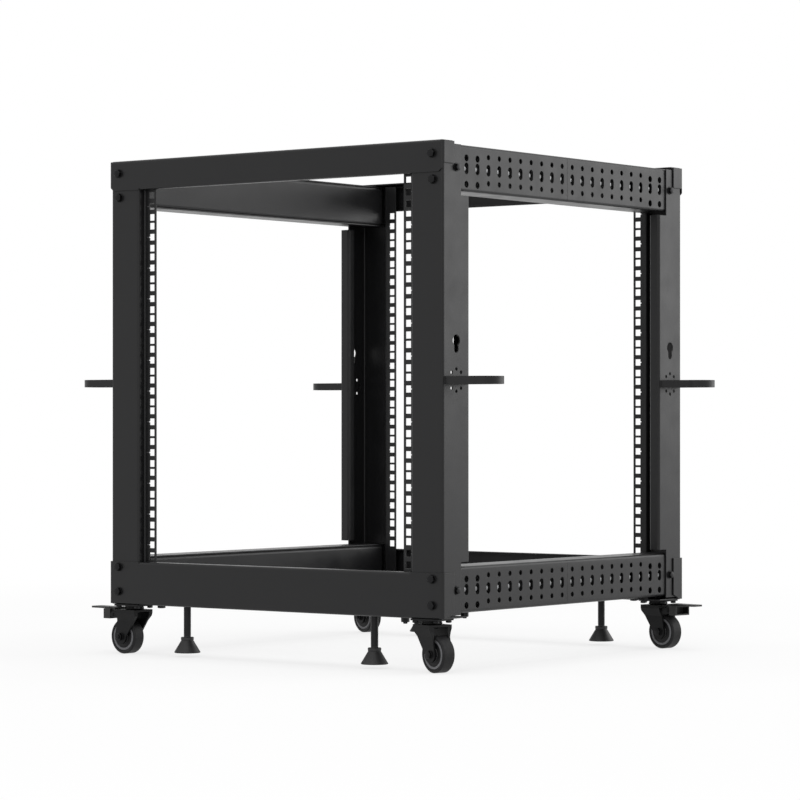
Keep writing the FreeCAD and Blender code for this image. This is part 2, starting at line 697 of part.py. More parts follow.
# ------------------------------------------------------ levelling feet
def make_foot():
    """Threaded stem with a cone-shaped pad."""
    z0 = FOOT_LOW
    r = FOOT_PAD / 2
    n = FOOT_NECK / 2
    s = FOOT_STEM / 2
    top = z0 + FOOT_PAD_H
    rim = 0.6
    cone = top - FOOT_COLLAR
    pts = [V(0, 0, z0), V(r - rim, 0, z0), V(r, 0, z0 + rim),
           V(r, 0, z0 + 2 * rim), V(n - rim, 0, cone), V(n, 0, cone + rim),
           V(n, 0, top - rim), V(n - rim, 0, top),
           V(s, 0, top), V(s, 0, FOOT_TOP - 1), V(s - 1, 0, FOOT_TOP),
           V(0, 0, FOOT_TOP)]
    face = Part.Face(Part.makePolygon(pts + [pts[0]]))
    return face.revolve(V(0, 0, 0), V(0, 0, 1), 360)


foot = make_foot()
for name, (sx, sy) in CORNERS.items():
    one = foot.copy()
    one.translate(V(sx * FOOT_X, sy * FOOT_Y, 0))
    nodes["foot_" + name] = one

# ----------------------------------------------------------------- save
os.makedirs("parts", exist_ok=True)
for name, shape in sorted(nodes.items()):
    solids = shape.Solids
    solid = solids[0] if len(solids) == 1 else shape
    print(name, len(solids), round(shape.Volume), shape.isValid())
    solid.exportStep("parts/%s.step" % name)
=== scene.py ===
import json
import logging
import math
from dataclasses import dataclass, field
from enum import Enum
from typing import ClassVar, Iterable, Optional, Sequence

import bmesh
import bpy
from mathutils import Matrix, Vector


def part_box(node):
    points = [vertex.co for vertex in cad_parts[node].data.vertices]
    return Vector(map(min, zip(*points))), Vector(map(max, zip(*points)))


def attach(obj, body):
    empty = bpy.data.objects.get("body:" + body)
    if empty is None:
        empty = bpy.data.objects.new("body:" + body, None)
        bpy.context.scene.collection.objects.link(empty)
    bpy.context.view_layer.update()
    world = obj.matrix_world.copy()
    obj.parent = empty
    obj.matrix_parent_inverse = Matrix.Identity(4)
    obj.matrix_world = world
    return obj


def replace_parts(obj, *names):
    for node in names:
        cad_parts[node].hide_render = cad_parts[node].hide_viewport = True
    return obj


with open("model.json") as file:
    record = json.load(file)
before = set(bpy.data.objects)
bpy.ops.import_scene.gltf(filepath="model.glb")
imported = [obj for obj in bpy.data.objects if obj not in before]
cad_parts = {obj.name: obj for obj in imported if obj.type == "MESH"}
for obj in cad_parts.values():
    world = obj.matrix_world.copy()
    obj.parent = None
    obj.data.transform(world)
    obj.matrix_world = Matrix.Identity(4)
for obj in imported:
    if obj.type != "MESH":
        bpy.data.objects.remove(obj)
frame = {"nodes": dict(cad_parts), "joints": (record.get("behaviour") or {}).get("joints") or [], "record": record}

LOG = logging.getLogger("rack")
MM = 0.001
UNIT_MM = 44.45      # height of one rack unit
WELD = 1e-6          # points that lie closer are one
DOWN = Vector((0, 0, -1))
Point = tuple[float, float]


# ---------------------------------------------------------------- choices
class Slot(Enum):
    """Material slots of the record."""

    RACK = "rack_black"
    HOOK = "hook_black"
    CASTER = "caster_black"
    HUB = "hub_grey"
    TYRE = "tyre_black"
    PEDAL = "pedal_black"
    FOOT = "foot_black"


class Corner(Enum):
    """The four corners, as their signs along X and Y."""

    FRONT_LEFT = (-1, -1)
    FRONT_RIGHT = (1, -1)
    REAR_LEFT = (-1, 1)
    REAR_RIGHT = (1, 1)

    @property
    def label(self) -> str:
        """Corner part of a node name."""
        return self.name.lower()

    @property
    def side(self) -> str:
        """Left or right, as in a rail's name."""
        return "left" if self.value[0] < 0 else "right"

    @property
    def end(self) -> str:
        """Front or rear, as in a beam's name."""
        return "front" if self.value[1] < 0 else "rear"


class BoltEnd(Enum):
    """Which end of a bolt shows."""

    HEAD = "head"
    NUT = "nut"


# ------------------------------------------------------------------ tools
def linear(code: str) -> tuple[float, float, float, float]:
    """Turns an sRGB hex code into linear values.

    Args:
        code: Six hex digits after a hash.

    Returns:
        Linear red, green, blue and an alpha of one.
    """
    found = []
    for start in (1, 3, 5):
        c = int(code[start:start + 2], 16) / 255
        found.append(c / 12.92 if c <= 0.04045 else ((c + 0.055) / 1.055) ** 2.4)
    return (found[0], found[1], found[2], 1.0)


def add_node(
    tree: bpy.types.NodeTree,
    kind: str,
    values: Optional[dict] = None,
    links: Optional[dict] = None,
    **settings: object,
) -> bpy.types.Node:
    """Adds one shader node with its settings, constants and links.

    Args:
        tree: The node tree that takes it.
        kind: Name of the node type.
        values: Constants by input name or index.
        links: Output sockets by input name or index.
        **settings: Attributes of the node itself.

    Returns:
        The new node.
    """
    node = tree.nodes.new(kind)
    for key, value in settings.items():
        setattr(node, key, value)
    for key, value in (values or {}).items():
        node.inputs[key].default_value = value
    for key, socket in (links or {}).items():
        tree.links.new(socket, node.inputs[key])
    return node


def frame_at(origin: Vector, axis: Vector, turn: float = 0.0) -> Matrix:
    """Places local Z along an axis at a point.

    Args:
        origin: Where local zero goes.
        axis: Direction that local Z takes.
        turn: Rotation about that axis, in degrees.

    Returns:
        The placing matrix.
    """
    spin = Matrix.Rotation(math.radians(turn), 4, "Z")
    facing = axis.to_track_quat("Z", "Y").to_matrix().to_4x4()
    return Matrix.Translation(origin) @ facing @ spin


# --------------------------------------------------------------- finishes
@dataclass(frozen=True)
class Finish:
    """A surface as it is made: its base colour, sheen, grain and edges."""

    name: str
    colour: str
    roughness: float
    metallic: float = 0.0
    specular: float = 0.5
    grain_mm: float = 1.0
    grain_depth: float = 0.1
    edge_mm: float = 0.5
    sheen_swing: float = 0.05
    sheen_mm: float = 33.33
    drift_swing: float = 0.08
    drift_mm: float = 83.33

    BEVEL_SAMPLES: ClassVar[int] = 6
    # height of the grain as a share of its width
    RELIEF: ClassVar[float] = 0.2

    def build(self) -> bpy.types.Material:
        """Makes the procedural material.

        Returns:
            The material, with grain in the object's own coordinates.
        """
        made = bpy.data.materials.new(self.name)
        made.use_nodes = True
        tree = made.node_tree
        tree.nodes.clear()
        where = add_node(tree, "ShaderNodeTexCoord").outputs["Object"]
        edge = add_node(tree, "ShaderNodeBevel", {"Radius": self.edge_mm * MM},
                        samples=self.BEVEL_SAMPLES)
        grain = self.grain(tree, where)
        bump = add_node(
            tree, "ShaderNodeBump",
            {"Strength": self.grain_depth,
             "Distance": self.grain_mm * MM * self.RELIEF},
            {"Height": grain, "Normal": edge.outputs["Normal"]})
        shader = add_node(
            tree, "ShaderNodeBsdfPrincipled",
            {"Metallic": self.metallic, "Specular IOR Level": self.specular},
            {"Base Color": self.tint(tree, where),
             "Roughness": self.sheen(tree, where),
             "Normal": bump.outputs["Normal"]})
        add_node(tree, "ShaderNodeOutputMaterial",
                 links={"Surface": shader.outputs["BSDF"]})
        return made

    def grain(self, tree: bpy.types.NodeTree,
              where: bpy.types.NodeSocket) -> bpy.types.NodeSocket:
        """Height of the fine surface grain.

        Args:
            tree: The material's node tree.
            where: Object coordinates.

        Returns:
            The height socket.
        """
        noise = add_node(
            tree, "ShaderNodeTexNoise",
            {"Scale": 1 / (self.grain_mm * MM), "Detail": 3.0,
             "Roughness": 0.5}, {"Vector": where})
        return noise.outputs["Fac"]

    def tint(self, tree: bpy.types.NodeTree,
             where: bpy.types.NodeSocket) -> bpy.types.NodeSocket:
        """Base colour with a barely visible drift over a hand's width.

        Args:
            tree: The material's node tree.
            where: Object coordinates.

        Returns:
            The colour socket.
        """
        drift = add_node(tree, "ShaderNodeTexNoise",
                         {"Scale": 1 / (self.drift_mm * MM), "Detail": 2.0},
                         {"Vector": where})
        base = linear(self.colour)[:3]
        dark, light = (
            tuple(c * (1 + swing) for c in base) + (1.0,)
            for swing in (-self.drift_swing, self.drift_swing))
        mix = add_node(tree, "ShaderNodeMix", {"A": dark, "B": light},
                       {"Factor": drift.outputs["Fac"]}, data_type="RGBA")
        return mix.outputs["Result"]

    def sheen(self, tree: bpy.types.NodeTree,
              where: bpy.types.NodeSocket) -> bpy.types.NodeSocket:
        """Roughness with the slow unevenness of handling and curing.

        Args:
            tree: The material's node tree.
            where: Object coordinates.

        Returns:
            The roughness socket.
        """
        cloud = add_node(tree, "ShaderNodeTexNoise",
                         {"Scale": 1 / (self.sheen_mm * MM), "Detail": 4.0},
                         {"Vector": where})
        spread = add_node(
            tree, "ShaderNodeMapRange",
            {"From Min": 0.3, "From Max": 0.7,
             "To Min": max(self.roughness - self.sheen_swing, 0.02),
             "To Max": self.roughness + self.sheen_swing},
            {"Value": cloud.outputs["Fac"]})
        return spread.outputs["Result"]


@dataclass(frozen=True)
class PowderCoat(Finish):
    """Baked polyester powder on steel: the orange peel breaks up highlights."""

    # fine noise cells across one rounded cell
    FINER: ClassVar[float] = 3.0

    def grain(self, tree: bpy.types.NodeTree,
              where: bpy.types.NodeSocket) -> bpy.types.NodeSocket:
        """Rounded cells of the cured powder under a finer noise.

        Args:
            tree: The material's node tree.
            where: Object coordinates.

        Returns:
            The height socket.
        """
        cells = add_node(
            tree, "ShaderNodeTexVoronoi",
            {"Scale": 1 / (self.grain_mm * MM), "Smoothness": 0.8},
            {"Vector": where}, feature="SMOOTH_F1")
        fine = add_node(
            tree, "ShaderNodeTexNoise",
            {"Scale": self.FINER / (self.grain_mm * MM), "Detail": 2.0},
            {"Vector": where})
        both = add_node(tree, "ShaderNodeMath", links={
            0: cells.outputs["Distance"], 1: fine.outputs["Fac"]},
            operation="ADD")
        return both.outputs["Value"]


@dataclass(frozen=True)
class TreadRubber(Finish):
    """Solid rubber tread: patches of floor dust lift its black."""

    dust_mm: float = 4.545
    dust_lift: float = 0.03
    dust_share: float = 0.35

    def tint(self, tree: bpy.types.NodeTree,
             where: bpy.types.NodeSocket) -> bpy.types.NodeSocket:
        """Rubber that floor dust greys in small patches.

        Args:
            tree: The material's node tree.
            where: Object coordinates.

        Returns:
            The colour socket.
        """
        dust = add_node(tree, "ShaderNodeTexNoise",
                        {"Scale": 1 / (self.dust_mm * MM), "Detail": 5.0},
                        {"Vector": where})
        ramp = add_node(tree, "ShaderNodeMapRange",
                        {"From Min": 0.45, "From Max": 0.8,
                         "To Max": self.dust_share},
                        {"Value": dust.outputs["Fac"]})
        base = linear(self.colour)
        grey = tuple(c + self.dust_lift for c in base[:3]) + (1.0,)
        mix = add_node(tree, "ShaderNodeMix", {"A": base, "B": grey},
                       {"Factor": ramp.outputs["Result"]}, data_type="RGBA")
        return mix.outputs["Result"]


class Palette:
    """The finishes of the rack, built once each."""

    # satin black powder coat on folded steel, dark grey where light grazes it
    RACK = PowderCoat("satin_powder_coat", "#1b1b1c", 0.36, specular=0.29,
                      grain_mm=0.9, grain_depth=0.12, edge_mm=0.9)
    # the same powder on the loop's thin strip, a little flatter
    HOOK = PowderCoat("hook_powder_coat", "#19191a", 0.4, specular=0.3,
                      grain_mm=0.8, grain_depth=0.1, edge_mm=0.4)
    # electrophoretic black on pressed fork steel, thin and even
    CASTER = Finish("black_electrocoat", "#0f0f10", 0.45, specular=0.18,
                    grain_mm=0.5, grain_depth=0.06, edge_mm=0.6)
    # grey polypropylene, moulded smooth: the pale rim of the wheel
    HUB = Finish("grey_polypropylene", "#727275", 0.4,
                 grain_mm=0.4, grain_depth=0.05, edge_mm=0.5)
    # black thermoplastic rubber, moulded: a soft broad highlight on the tread
    TYRE = TreadRubber("tread_rubber", "#1a1a1b", 0.55, specular=0.25,
                       grain_mm=0.6, grain_depth=0.15, edge_mm=0.8)
    # thick matt electrocoat on the stamped pedal, no clear highlight
    PEDAL = Finish("matt_electrocoat", "#151515", 0.55,
                   grain_mm=0.3, grain_depth=0.2, edge_mm=0.6)
    # black moulded polypropylene cover, flat between the bright rim and nut
    CAP = Finish("black_polypropylene", "#0f0f10", 0.5, specular=0.25,
                 grain_mm=0.3, grain_depth=0.1, edge_mm=0.4)
    # the same matt coat on the turned pad and stem, a little paler
    FOOT = Finish("pad_electrocoat", "#161617", 0.5,
                  grain_mm=0.3, grain_depth=0.15, edge_mm=0.5)
    # oiled black oxide on bolts and nuts, with a metal glint
    SCREW = Finish("black_oxide", "#1d1d1e", 0.36, metallic=0.8,
                   grain_mm=0.3, grain_depth=0.05, edge_mm=0.25)
    # zinc plating on the bushes, dulled by its passivation
    PLATED = Finish("zinc_plating", "#8f9091", 0.42, metallic=1.0,
                    grain_mm=0.4, grain_depth=0.06, edge_mm=0.2)
    # pale pad-printed ink of the ticks, worn matt
    PRINT = Finish("pad_print", "#6d6d6f", 0.6,
                   grain_mm=0.2, grain_depth=0.05, edge_mm=0.05)

    BY_SLOT: ClassVar[dict[Slot, Finish]] = {
        Slot.RACK: RACK, Slot.HOOK: HOOK, Slot.CASTER: CASTER,
        Slot.HUB: HUB, Slot.TYRE: TYRE, Slot.PEDAL: PEDAL, Slot.FOOT: FOOT,
    }
    _made: ClassVar[dict[str, bpy.types.Material]] = {}

    @classmethod
    def material(cls, finish: Finish) -> bpy.types.Material:
        """Builds a finish on its first use.

        Args:
            finish: The surface that is wanted.

        Returns:
            The one material of that finish.
        """
        if finish.name not in cls._made:
            cls._made[finish.name] = finish.build()
        return cls._made[finish.name]

    @classmethod
    def dress_nodes(cls) -> None:
        """Gives every CAD node the finish of its material slot."""
        for part in frame["record"]["subparts"]:
            node = frame["nodes"][part["node"]]
            node.data.materials.clear()
            finish = cls.BY_SLOT[Slot(part["material_slot"])]
            node.data.materials.append(cls.material(finish))


# ----------------------------------------------------------------- meshes
@dataclass
class Piece:
    """One mesh piece that is built from shapes and then set on a body."""

    name: str
    mesh: bmesh.types.BMesh = field(default_factory=bmesh.new)

    def lathe(self, profile: Sequence[Point], at: Matrix,
              steps: int = 32) -> None:
        """Turns a profile about local Z.

        Args:
            profile: Radius and height of each point, in millimetres.
            at: Placing matrix, in metres.
            steps: Sides of the turned form.
        """
        rings = []
        for radius, height in profile:
            count = 1 if radius < WELD else steps
            ring = []
            for k in range(count):
                a = 2 * math.pi * k / steps
                here = Vector((radius * math.cos(a), radius * math.sin(a),
                               height)) * MM
                ring.append(self.mesh.verts.new(at @ here))
            rings.append(ring)
        for low, high in zip(rings, rings[1:]):
            for k in range(steps):
                corners = [low[k % len(low)], low[(k + 1) % len(low)],
                           high[(k + 1) % len(high)], high[k % len(high)]]
                unique = list(dict.fromkeys(corners))
                if len(unique) > 2:
                    self.mesh.faces.new(unique)

    def prism(self, outline: Sequence[Point], low: float, high: float,
              at: Matrix, inset: float = 0.0) -> None:
        """Raises a flat outline, with an edge that draws in at the top.

        Args:
            outline: Points about local zero, in millimetres.
            low: Lower height.
            high: Upper height.
            at: Placing matrix, in metres.
            inset: Width of the chamfer at the top.
        """
        levels = [(low, 1.0), (high - inset, 1.0)]
        if inset:
            reach = max(math.hypot(*p) for p in outline)
            levels.append((high, 1 - inset / reach))
        rings = []
        for height, share in levels:
            rings.append([
                self.mesh.verts.new(
                    at @ (Vector((x * share, y * share, height)) * MM))
                for x, y in outline])
        count = len(outline)
        for a, b in zip(rings, rings[1:]):
            for k in range(count):
                j = (k + 1) % count
                self.mesh.faces.new([a[k], a[j], b[j], b[k]])
        self.mesh.faces.new(list(reversed(rings[0])))
        self.mesh.faces.new(rings[-1])

    def helix(self, radius: float, crest: float, pitch: float, low: float,
              high: float, at: Matrix, steps: int = 20) -> None:
        """Winds a thread flank about local Z.

        Args:
            radius: Root radius, in millimetres.
            crest: Height of the crest over the root.
            pitch: Rise of one turn.
            low: Start of the thread.
            high: End of the thread.
            at: Placing matrix, in metres.
            steps: Segments of one turn.
        """
        turns = (high - low) / pitch - 1
        total = int(turns * steps)
        previous = None
        for k in range(total + 1):
            a = 2 * math.pi * k / steps
            z = low + pitch * k / steps
            fade = min(1.0, k / steps, (total - k) / steps)
            ring = []
            for r, dz in ((radius, 0.0), (radius + crest * fade, pitch / 2),
                          (radius, pitch)):
                here = Vector((r * math.cos(a), r * math.sin(a), z + dz)) * MM
                ring.append(self.mesh.verts.new(at @ here))
            if previous:
                for i in (0, 1):
                    self.mesh.faces.new([previous[i], ring[i], ring[i + 1],
                                         previous[i + 1]])
            previous = ring

    def set_on(self, body: str, finish: Finish,
               smooth: float = 35.0) -> bpy.types.Object:
        """Turns the shapes into an object that rides on a body.

        Args:
            body: Name of the body that carries the piece.
            finish: Surface of the piece.
            smooth: Largest angle that is shaded smooth, in degrees.

        Returns:
            The new object.
        """
        bmesh.ops.remove_doubles(self.mesh, verts=self.mesh.verts, dist=WELD)
        bmesh.ops.recalc_face_normals(self.mesh, faces=self.mesh.faces)
        limit = math.radians(smooth)
        for face in self.mesh.faces:
            face.smooth = True
        for edge in self.mesh.edges:
            flat = len(edge.link_faces) != 2
            edge.smooth = not (flat or edge.calc_face_angle(0.0) > limit)
        data = bpy.data.meshes.new(self.name)
        self.mesh.to_mesh(data)
        count = len(data.polygons)
        self.mesh.free()
        thing = bpy.data.objects.new(self.name, data)
        bpy.context.scene.collection.objects.link(thing)
        data.materials.append(Palette.material(finish))
        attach(thing, body)
        LOG.info("%s: %d faces on %s", self.name, count, body)
        return thing


def polygon(sides: int, across: float, turn: float = 0.0) -> list[Point]:
    """Regular outline by its width across flats.

    Args:
        sides: Number of sides.
        across: Width across flats, in millimetres.
        turn: Rotation, in degrees.

    Returns:
        The corner points.
    """
    radius = across / 2 / math.cos(math.pi / sides)
    start = math.radians(turn)
    return [(radius * math.cos(start + 2 * math.pi * k / sides),
             radius * math.sin(start + 2 * math.pi * k / sides))
            for k in range(sides)]


def rectangle(length: float, width: float) -> list[Point]:
    """Outline of a rectangle about local zero.

    Args:
        length: Size along local X, in millimetres.
        width: Size along local Y.

    Returns:
        The corner points.
    """
    x, y = length / 2, width / 2
    return [(-x, -y), (x, -y), (x, y), (-x, y)]


@dataclass
class Fastener:
    """A bolt head or nut with its washer, set along an axis."""

    across: float = 10.0
    height: float = 4.2
    washer: float = 13.0
    washer_t: float = 0.9
    washer_edge: float = 0.2
    chamfer: float = 0.5
    crown: float = 0.3
    crown_foot: float = 0.46
    crown_lip: float = 0.36
    sunk: float = 0.05
    shank: float = 6.0
    shank_out: float = 2.2
    shank_tip: float = 0.6
    end: BoltEnd = BoltEnd.HEAD

    def draw(self, piece: Piece, at: Matrix) -> None:
        """Adds the fastener to a piece.

        Args:
            piece: The piece that collects it.
            at: Place of its seat, with local Z pointing away from it.
        """
        w = self.washer / 2
        t = self.washer_t
        e = self.washer_edge
        piece.lathe([(0, 0.0), (w - e, 0.0), (w, e), (w, t - e), (w - e, t),
                     (0, t)], at, 28)
        head = at @ Matrix.Translation(Vector((0, 0, t * MM)))
        piece.prism(polygon(6, self.across), 0.0, self.height, head,
                    self.chamfer)
        if self.end is BoltEnd.HEAD:
            self._crown(piece, head)
        else:
            self._shank(piece, head)

    def _crown(self, piece: Piece, at: Matrix) -> None:
        """Adds the low dome of a head.

        Args:
            piece: The piece that collects it.
            at: Place of the washer's face.
        """
        top = self.height
        piece.lathe([(self.across * self.crown_foot, top - self.sunk),
                     (self.across * self.crown_lip,
                      top + self.crown - self.sunk),
                     (0, top + self.crown)], at, 24)

    def _shank(self, piece: Piece, at: Matrix) -> None:
        """Adds the bolt's end that stands out of a nut.

        Args:
            piece: The piece that collects it.
            at: Place of the washer's face.
        """
        r = self.shank / 2
        top = self.height
        out = top + self.shank_out
        piece.lathe([(r, top - 2 * self.sunk), (r, out - self.shank_tip),
                     (r - self.shank_tip, out), (0, out)], at, 20)


# ----------------------------------------------------------- frame pieces
@dataclass
class PostDressing:
    """Bolts of one post and the unit ticks on its flange."""

    corner: Corner
    face_bolt_in: float = 16.0
    side_bolt_in: float = 31.3
    top_bolt_down: float = 18.0
    face_bolt_down: float = 10.0
    upper_bolt_down: float = 8.0
    lower_bolt_up: float = 18.5
    first_turn: float = 11.0
    turn_step: float = 17.0
    side_turn: float = 8.0
    tick_length: float = 4.0
    tick_width: float = 0.7
    tick_ink: float = 0.06
    tick_from_edge: float = 14.5
    first_unit: float = 2.5
    units: int = 12
    head: Fastener = field(default_factory=Fastener)
    side_head: Fastener = field(default_factory=lambda: Fastener(
        across=9.0, height=3.6, washer=12.0))

    def build(self) -> None:
        """Adds the bolts and the unit ticks."""
        self._bolts()
        self._ticks()

    def _bolts(self) -> None:
        """Heads on the post face, the beams and the post side."""
        sx, sy = self.corner.value
        end = self.corner.end
        low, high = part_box("post_" + self.corner.label)
        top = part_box("beam_top_" + end)
        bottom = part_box("beam_bottom_" + end)
        side = high.x if sx > 0 else low.x
        face = high.y if sy > 0 else low.y
        beam = top[1].y if sy > 0 else top[0].y
        x = side - sx * self.face_bolt_in * MM
        out = Vector((0, sy, 0))
        piece = Piece("bolts_" + self.corner.label)
        spots = [(top[1].z - self.top_bolt_down * MM, beam),
                 (top[0].z - self.face_bolt_down * MM, face),
                 (bottom[1].z - self.upper_bolt_down * MM, beam),
                 (bottom[0].z + self.lower_bolt_up * MM, beam)]
        for count, (z, y) in enumerate(spots):
            turn = self.first_turn + self.turn_step * count
            self.head.draw(piece, frame_at(Vector((x, y, z)), out, turn))
        wide = Vector((sx, 0, 0))
        for level in ("top", "bottom"):
            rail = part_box("rail_%s_%s_%s" % (level, self.corner.side, end))
            z = (rail[0].z + rail[1].z) / 2
            y = face - sy * self.side_bolt_in * MM
            at = frame_at(Vector((side, y, z)), wide, self.side_turn)
            self.side_head.draw(piece, at)
        piece.set_on("frame", Palette.SCREW)

    def _ticks(self) -> None:
        """Ticks beside the middle hole of each rack unit."""
        sx, sy = self.corner.value
        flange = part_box("flange_" + self.corner.label)
        edge = flange[0].x if sx > 0 else flange[1].x
        face = flange[1].y if sy > 0 else flange[0].y
        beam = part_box("beam_bottom_" + self.corner.end)
        start = beam[1].z + self.first_unit * MM
        piece = Piece("ticks_" + self.corner.label)
        outline = rectangle(self.tick_length, self.tick_width)
        x = edge + sx * self.tick_from_edge * MM
        for unit in range(self.units):
            z = start + (unit + 0.5) * UNIT_MM * MM
            at = frame_at(Vector((x, face, z)), Vector((0, sy, 0)))
            piece.prism(outline, 0.0, self.tick_ink, at)
        piece.set_on("frame", Palette.PRINT)


@dataclass
class RailSkin:
    """One half of a side rail, punched over its whole length."""

    level: str
    side: str
    end: str
    pitch: float = 25.4
    columns: int = 10
    end_columns: int = 2
    row: float = 17.8
    dot: float = 7.2
    end_hole: float = 9.2
    end_drop: float = 3.75
    oval: Point = (8.9, 15.6)
    oval_sides: int = 24
    dot_sides: int = 20
    through: float = 4.0
    wall_reach: float = 5.0
    bush_back: float = 4.4
    bush_radius: float = 3.6
    bush_height: float = 2.1

    def build(self) -> None:
        """Adds the punched sheet in place of the plainer solid."""
        name = "rail_%s_%s_%s" % (self.level, self.side, self.end)
        low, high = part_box(name)
        web = low.x if self.side == "left" else high.x
        middle = (low.z + high.z) / 2
        node = frame["nodes"][name]
        blank = Piece("blank")
        blank.mesh.from_mesh(node.data)
        blank.mesh.transform(node.matrix_world)
        bmesh.ops.remove_doubles(blank.mesh, verts=blank.mesh.verts,
                                 dist=WELD)
        self._close(blank.mesh, middle)
        piece = Piece("skin_" + name)
        punched = self._punch(blank, web, middle)
        piece.mesh.from_mesh(punched)
        bpy.data.meshes.remove(punched)
        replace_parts(piece.set_on("frame", Palette.RACK), name)
        self._bushes(name, web, middle)

    def _bushes(self, name: str, web: float, middle: float) -> None:
        """Plated bushes behind the middle row, seen through the slots.

        Args:
            name: Node of the rail half.
            web: X of the outer face, in metres.
            middle: Middle height of the rail, in metres.
        """
        sx = -1 if self.side == "left" else 1
        piece = Piece("bushes_" + name)
        out = Vector((sx, 0, 0))
        x = web - sx * self.bush_back * MM
        r = self.bush_radius
        h = self.bush_height
        dome = [(r, 0.0), (r, h - 0.9), (r - 0.6, h - 0.3), (r / 2, h), (0, h)]
        for column in range(self.columns):
            y, _ = self._spots(column, middle)
            piece.lathe(dome, frame_at(Vector((x, y, middle)), out), 18)
        piece.set_on("frame", Palette.PLATED)

    def _spots(self, column: int, middle: float) -> tuple[float, float]:
        """Place along the rail and drop of one column.

        Args:
            column: Count from the middle of the rail.
            middle: Middle height of the rail, in metres.

        Returns:
            Y and the middle height of the two round holes, in metres.
        """
        sy = -1 if self.end == "front" else 1
        y = sy * self.pitch * (column + 0.5) * MM
        last = column >= self.columns - self.end_columns
        return y, middle - (self.end_drop * MM if last else 0.0)

    def _close(self, mesh: bmesh.types.BMesh, middle: float) -> None:
        """Closes the wide holes of the column that has small ones.

        Args:
            mesh: The sheet, changed in place.
            middle: Middle height of the rail, in metres.
        """
        y, _ = self._spots(self.columns - self.end_columns - 1, middle)
        walls = []
        for s in (-1, 1):
            z = middle + (s * self.row - self.end_drop) * MM
            for face in mesh.faces:
                at = face.calc_center_median()
                if (abs(face.normal.x) < 0.5
                        and math.hypot(at.y - y, at.z - z)
                        < self.wall_reach * MM):
                    walls.append(face)
        bmesh.ops.delete(mesh, geom=walls, context="FACES")
        rims = [e for e in mesh.edges if len(e.link_faces) == 1]
        bmesh.ops.holes_fill(mesh, edges=rims, sides=0)
        bmesh.ops.recalc_face_normals(mesh, faces=mesh.faces)

    def _punch(self, blank: Piece, web: float,
               middle: float) -> bpy.types.Mesh:
        """Cuts every hole of the pattern through the web.

        Args:
            blank: The sheet before punching.
            web: X of the outer face, in metres.
            middle: Middle height of the rail, in metres.

        Returns:
            The punched mesh.
        """
        tool = Piece("punch")
        along = Vector((1, 0, 0))
        deep = self.through
        w, h = (v / 2 for v in self.oval)
        slot = []
        for k in range(self.oval_sides):
            a = 2 * math.pi * (k + 0.5) / self.oval_sides
            lift = math.copysign(h - w, math.sin(a))
            slot.append((w * math.cos(a), w * math.sin(a) + lift))
        for column in range(self.columns):
            y, z = self._spots(column, middle)
            wide = column >= self.columns - self.end_columns
            hole = polygon(self.dot_sides,
                           self.end_hole if wide else self.dot)
            at = Vector((web, y, middle))
            tool.prism(slot, -deep, deep, frame_at(at, along))
            for s in (-1, 1):
                at = Vector((web, y, z + s * self.row * MM))
                tool.prism(hole, -deep, deep, frame_at(at, along))
        bmesh.ops.recalc_face_normals(tool.mesh, faces=tool.mesh.faces)
        things = []
        for part in (blank, tool):
            data = bpy.data.meshes.new(part.name)
            part.mesh.to_mesh(data)
            part.mesh.free()
            thing = bpy.data.objects.new(part.name, data)
            bpy.context.scene.collection.objects.link(thing)
            things.append(thing)
        cut = things[0].modifiers.new("cut", "BOOLEAN")
        cut.operation = "DIFFERENCE"
        cut.solver = "EXACT"
        cut.object = things[1]
        graph = bpy.context.evaluated_depsgraph_get()
        graph.update()
        made = bpy.data.meshes.new_from_object(things[0].evaluated_get(graph))
        for thing in things:
            data = thing.data
            bpy.data.objects.remove(thing)
            bpy.data.meshes.remove(data)
        return made


@dataclass
class BeamDressing:
    """Nuts below the lower flange of one bottom beam and its rails."""

    end: str
    low_nut: Fastener = field(default_factory=lambda: Fastener(
        height=3.4, washer=12.0, washer_t=0.6))
    nut: Fastener = field(default_factory=lambda: Fastener(
        height=5.8, washer=12.0, washer_t=0.8, end=BoltEnd.NUT))
    rail_nut_in: float = 19.0
    rail_nut_back: float = 75.0
    rail_turn: float = 5.0
    from_side: dict[str, float] = field(default_factory=lambda: {
        "left": 86.0, "right": 76.0})
    from_face: float = 17.0
    turn: float = 20.0

    def build(self) -> None:
        """Adds the nuts, low ones where a pedal swings below."""
        low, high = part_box("beam_bottom_" + self.end)
        piece = Piece("nuts_" + self.end)
        for corner in Corner:
            if corner.end != self.end:
                continue
            sx, sy = corner.value
            face = high.y if sy > 0 else low.y
            edge = high.x if sx > 0 else low.x
            at = Vector((edge - sx * self.from_side[corner.side] * MM,
                         face - sy * self.from_face * MM, low.z))
            braked = ("brake_" + corner.label) in frame["nodes"]
            kind = self.low_nut if braked else self.nut
            kind.draw(piece, frame_at(at, DOWN, self.turn))
            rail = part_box("rail_bottom_%s_%s" % (corner.side, self.end))
            at = Vector((edge - sx * self.rail_nut_in * MM,
                         face - sy * self.rail_nut_back * MM, rail[0].z))
            self.nut.draw(piece, frame_at(at, DOWN, self.rail_turn))
        piece.set_on("frame", Palette.SCREW)


